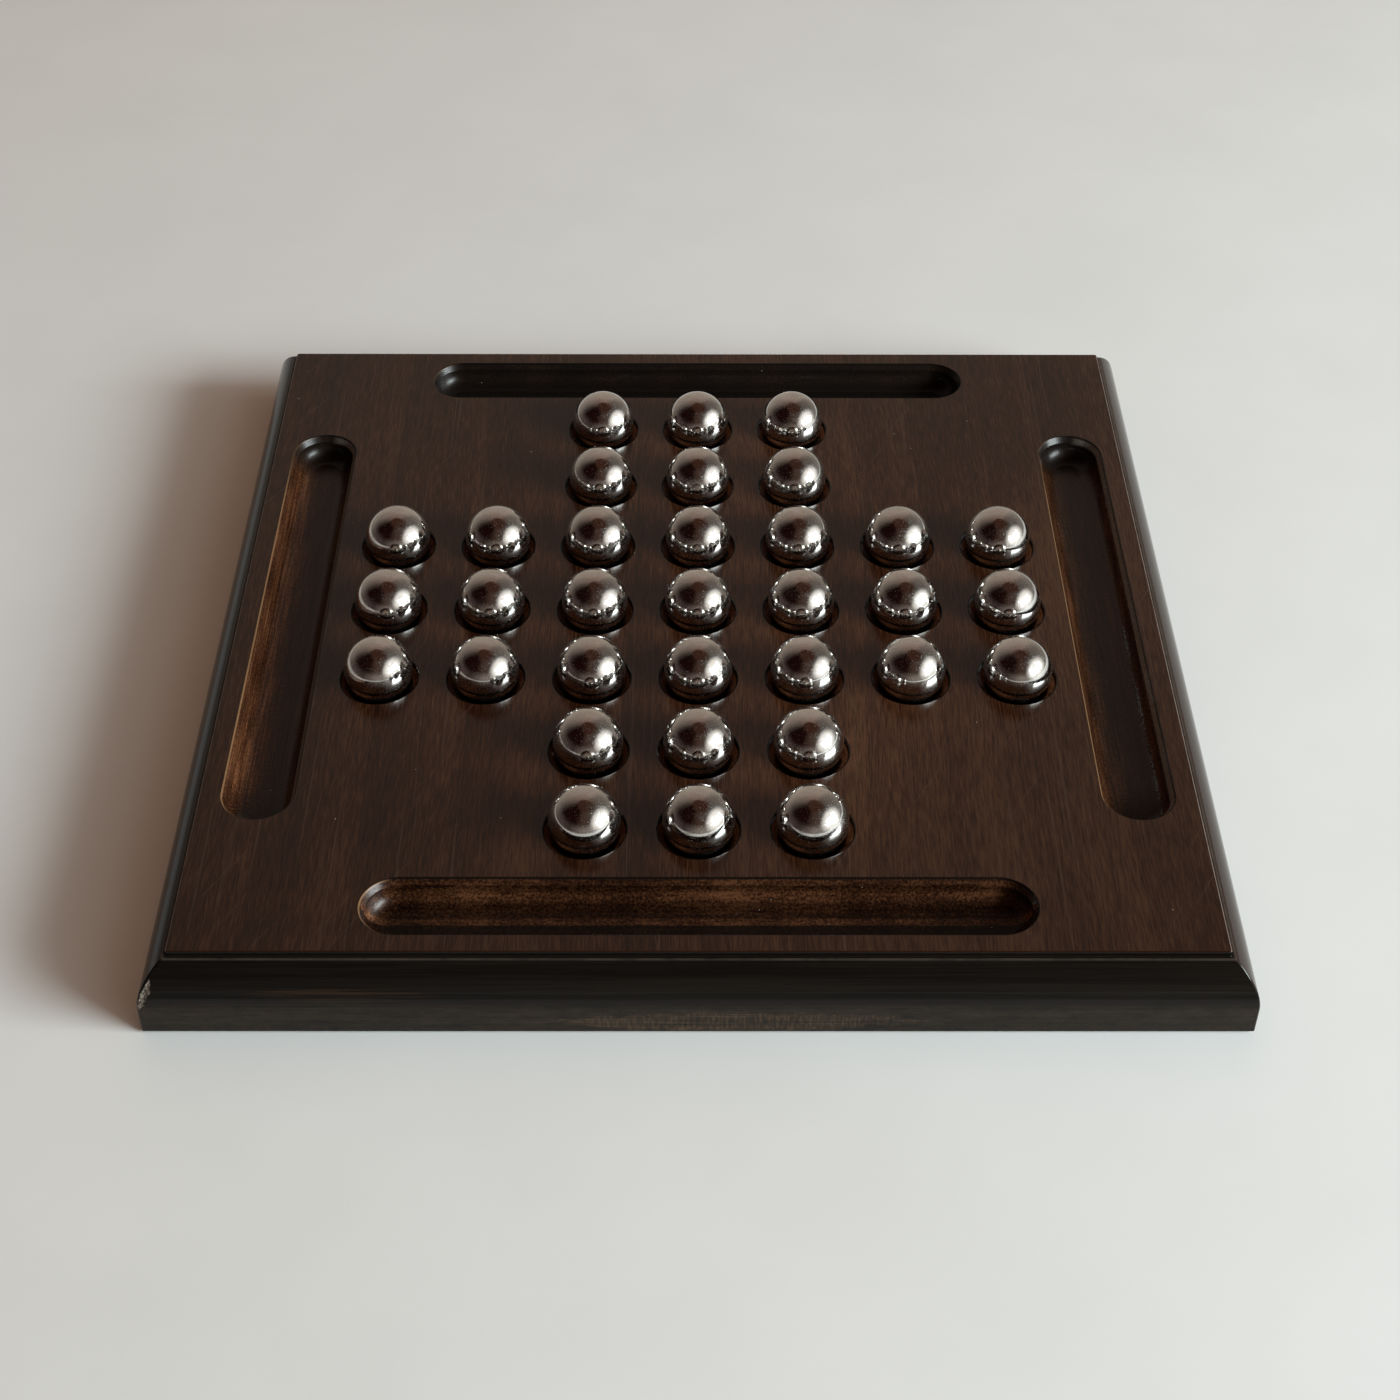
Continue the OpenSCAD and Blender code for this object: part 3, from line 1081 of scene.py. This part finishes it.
# Colours of the surroundings by direction: stops are degrees of elevation or azimuth, and colours or shares
BACKDROP_BY_HEIGHT = (
    (0, (0.46, 0.40, 0.33)),
    (40, (0.40, 0.32, 0.27)),
    (58, (0.30, 0.22, 0.18)),
    (67, (0.25, 0.17, 0.14)),
    (72, (0.060, 0.025, 0.015)),
    (90, (0.060, 0.025, 0.015)),
)
BACKDROP_SHARE = (
    (-180, 0.0), (-90, 0.0), (-75, 0.10), (-50, 0.54), (-30, 0.84), (-8, 1.0),
    (22, 1.0), (40, 0.40), (60, 0.18), (85, 0.0), (180, 0.0),
)
LOW_AROUND = (
    (-180, (0.27, 0.23, 0.195)),
    (-160, (0.15, 0.115, 0.10)),
    (-135, (0.05, 0.035, 0.03)),
    (-100, (0.085, 0.06, 0.055)),
    (50, (0.16, 0.15, 0.13)),
    (75, (0.24, 0.24, 0.22)),
    (140, (0.33, 0.32, 0.29)),
    (155, (0.29, 0.26, 0.23)),
    (180, (0.27, 0.23, 0.195)),
)
HIGH_AROUND = (
    (-180, (0.074, 0.042, 0.031)),
    (-150, (0.014, 0.004, 0.003)),
    (-95, (0.011, 0.003, 0.002)),
    (50, (0.09, 0.08, 0.07)),
    (80, (0.13, 0.12, 0.105)),
    (130, (0.12, 0.105, 0.09)),
    (155, (0.085, 0.058, 0.045)),
    (180, (0.074, 0.042, 0.031)),
)
OVERHEAD = (0.056, 0.024, 0.015)

# Elevations where the high and the overhead colours begin and are full, and how much lower at the right
HIGH_FROM = (8, 32)
OVERHEAD_FROM = (62, 75)
OVERHEAD_LEAN = 20

# Glow round the key lamp: half its width and height, in degrees, and its colour
GLOW_HALF_WIDTH = 49
GLOW_HALF_HEIGHT = 35
GLOW = (1.30, 1.27, 1.20)


def make_world():
    """Soft surroundings: pale behind the board, dark at the left and overhead, bright round the key lamp."""
    world = bpy.data.worlds.new("surroundings")
    bpy.context.scene.world = world
    world.use_nodes = True
    tree = world.node_tree
    way = axes(tree, node(tree, "ShaderNodeTexCoord").outputs["Generated"])
    elevation = maths(tree, "DEGREES", maths(tree, "ARCSINE", way[2]))
    azimuth = maths(tree, "DEGREES", maths(tree, "ARCTAN2", way[0], way[1]))
    low = ramp(tree, azimuth, LOW_AROUND, -180, 180)
    high = ramp(tree, azimuth, HIGH_AROUND, -180, 180)
    colour = mix(tree, step_between(tree, elevation, *HIGH_FROM), low, high)
    leaning = maths(tree, "ADD", elevation, times(tree, way[0], OVERHEAD_LEAN))
    colour = mix(tree, step_between(tree, leaning, *OVERHEAD_FROM), colour, OVERHEAD)
    backdrop = ramp(tree, elevation, BACKDROP_BY_HEIGHT, 0, 90)
    share = ramp(tree, azimuth, [(place, (v, v, v)) for place, v in BACKDROP_SHARE], -180, 180)
    colour = mix(tree, share, colour, backdrop)
    aside = maths(tree, "DIVIDE", maths(tree, "SUBTRACT", azimuth, KEY_AZIMUTH), GLOW_HALF_WIDTH)
    above = maths(tree, "DIVIDE", maths(tree, "SUBTRACT", elevation, KEY_ELEVATION), GLOW_HALF_HEIGHT)
    away = maths(tree, "SQRT", maths(tree, "ADD", times(tree, aside, aside), times(tree, above, above)))
    colour = mix(tree, step_between(tree, away, 1.0, 0.5), colour, GLOW)
    tree.links.new(colour, tree.nodes["Background"].inputs["Color"])


def make_camera():
    """The camera that the photograph was taken with, as far as it can be fitted."""
    lens = bpy.data.cameras.new("camera")
    lens.sensor_width = SENSOR
    lens.lens = FOCAL_PX / FRAME_PX * SENSOR
    camera = bpy.data.objects.new("camera", lens)
    tilted = Matrix.Rotation(math.pi / 2 - TILT, 4, "X")
    aim = Matrix.Rotation(PAN, 4, "Z") @ tilted @ Matrix.Rotation(ROLL, 4, "Z")
    camera.matrix_world = Matrix.Translation(EYE * MM) @ aim
    bpy.context.scene.collection.objects.link(camera)
    bpy.context.scene.camera = camera


make_camera()
make_board()
dress_balls()
make_floor()
key_place = direction(KEY_AZIMUTH, KEY_ELEVATION) * KEY_DISTANCE
make_lamp("key", key_place, (KEY_WIDTH, KEY_HEIGHT), KEY_POWER, KEY_COLOUR, True)
make_lamp("fill", FILL_PLACE, (FILL_SIZE, FILL_SIZE), FILL_POWER, FILL_COLOUR, False)
make_world()
bpy.context.scene.view_settings.view_transform = "Standard"
